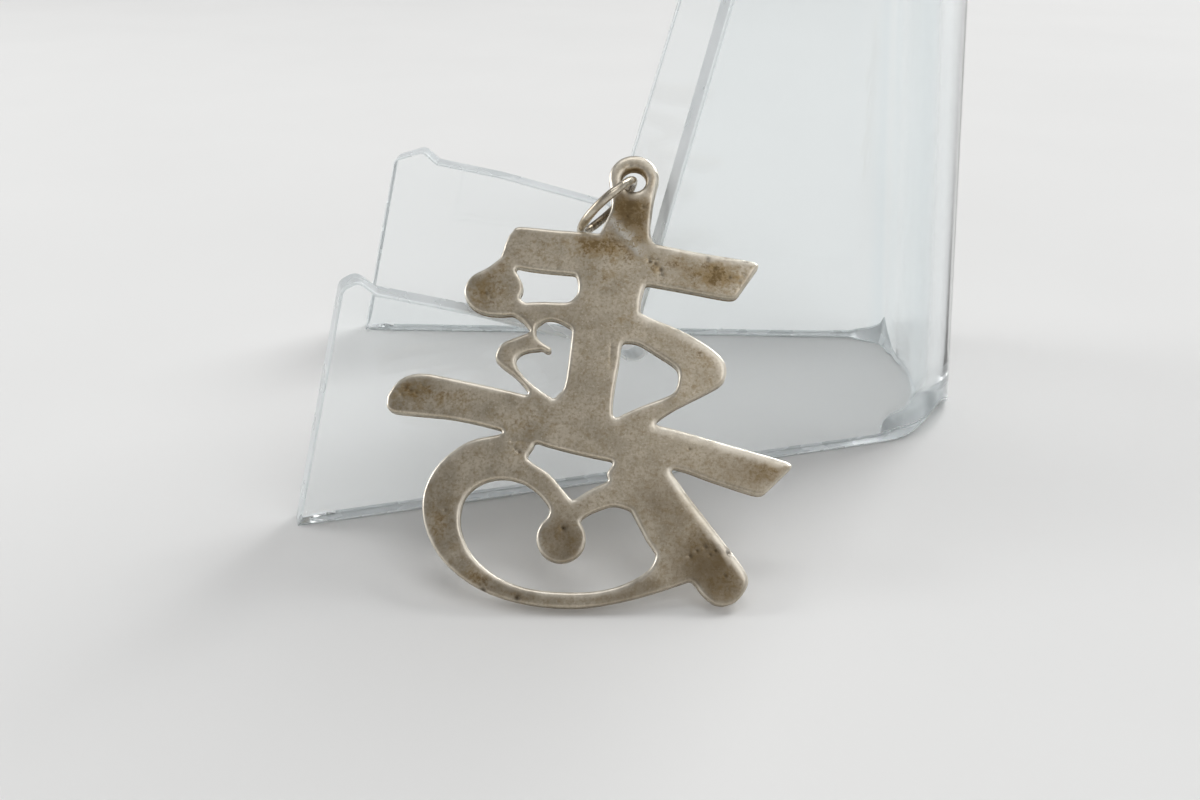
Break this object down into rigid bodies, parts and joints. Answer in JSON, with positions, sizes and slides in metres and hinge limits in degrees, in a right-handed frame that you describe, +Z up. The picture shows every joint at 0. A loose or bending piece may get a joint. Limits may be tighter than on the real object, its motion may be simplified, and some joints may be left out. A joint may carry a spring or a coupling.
{
  "type": "pendant on display stand",
  "caption": "Sawn openwork silver sign pendant with a hanging tab and a loose jump ring, leaning on a clear easel bent from one sheet.",
  "frame": {"origin": "on the floor, under the middle of the whole's bounding box", "axes": "+Z up, -Y towards the front that the plate's face looks at, +X to the right seen from the front, where the stand's bent spine is"},
  "size_m": [0.0834, 0.0761, 0.09],
  "materials": {
    "silver_plate": "worn silver, satin face with bright rubbed edges and brown tarnish",
    "silver_wire": "polished silver wire",
    "clear_sheet": "clear polished acrylic with sawn, bright edges"
  },
  "bodies": {
    "pendant_and_stand": {"openwork_plate": "silver_plate", "easel_stand": "clear_sheet"},
    "ring": {"jump_ring": "silver_wire"}
  },
  "joints": [
    {"name": "ring_swing", "type": "hinge", "parent": "pendant_and_stand", "child": "ring", "pos_m": [-0.0017, -0.00679, 0.03419], "axis": [0, 0.7385, -0.6743], "range_deg": [0, 180]}
  ]
}
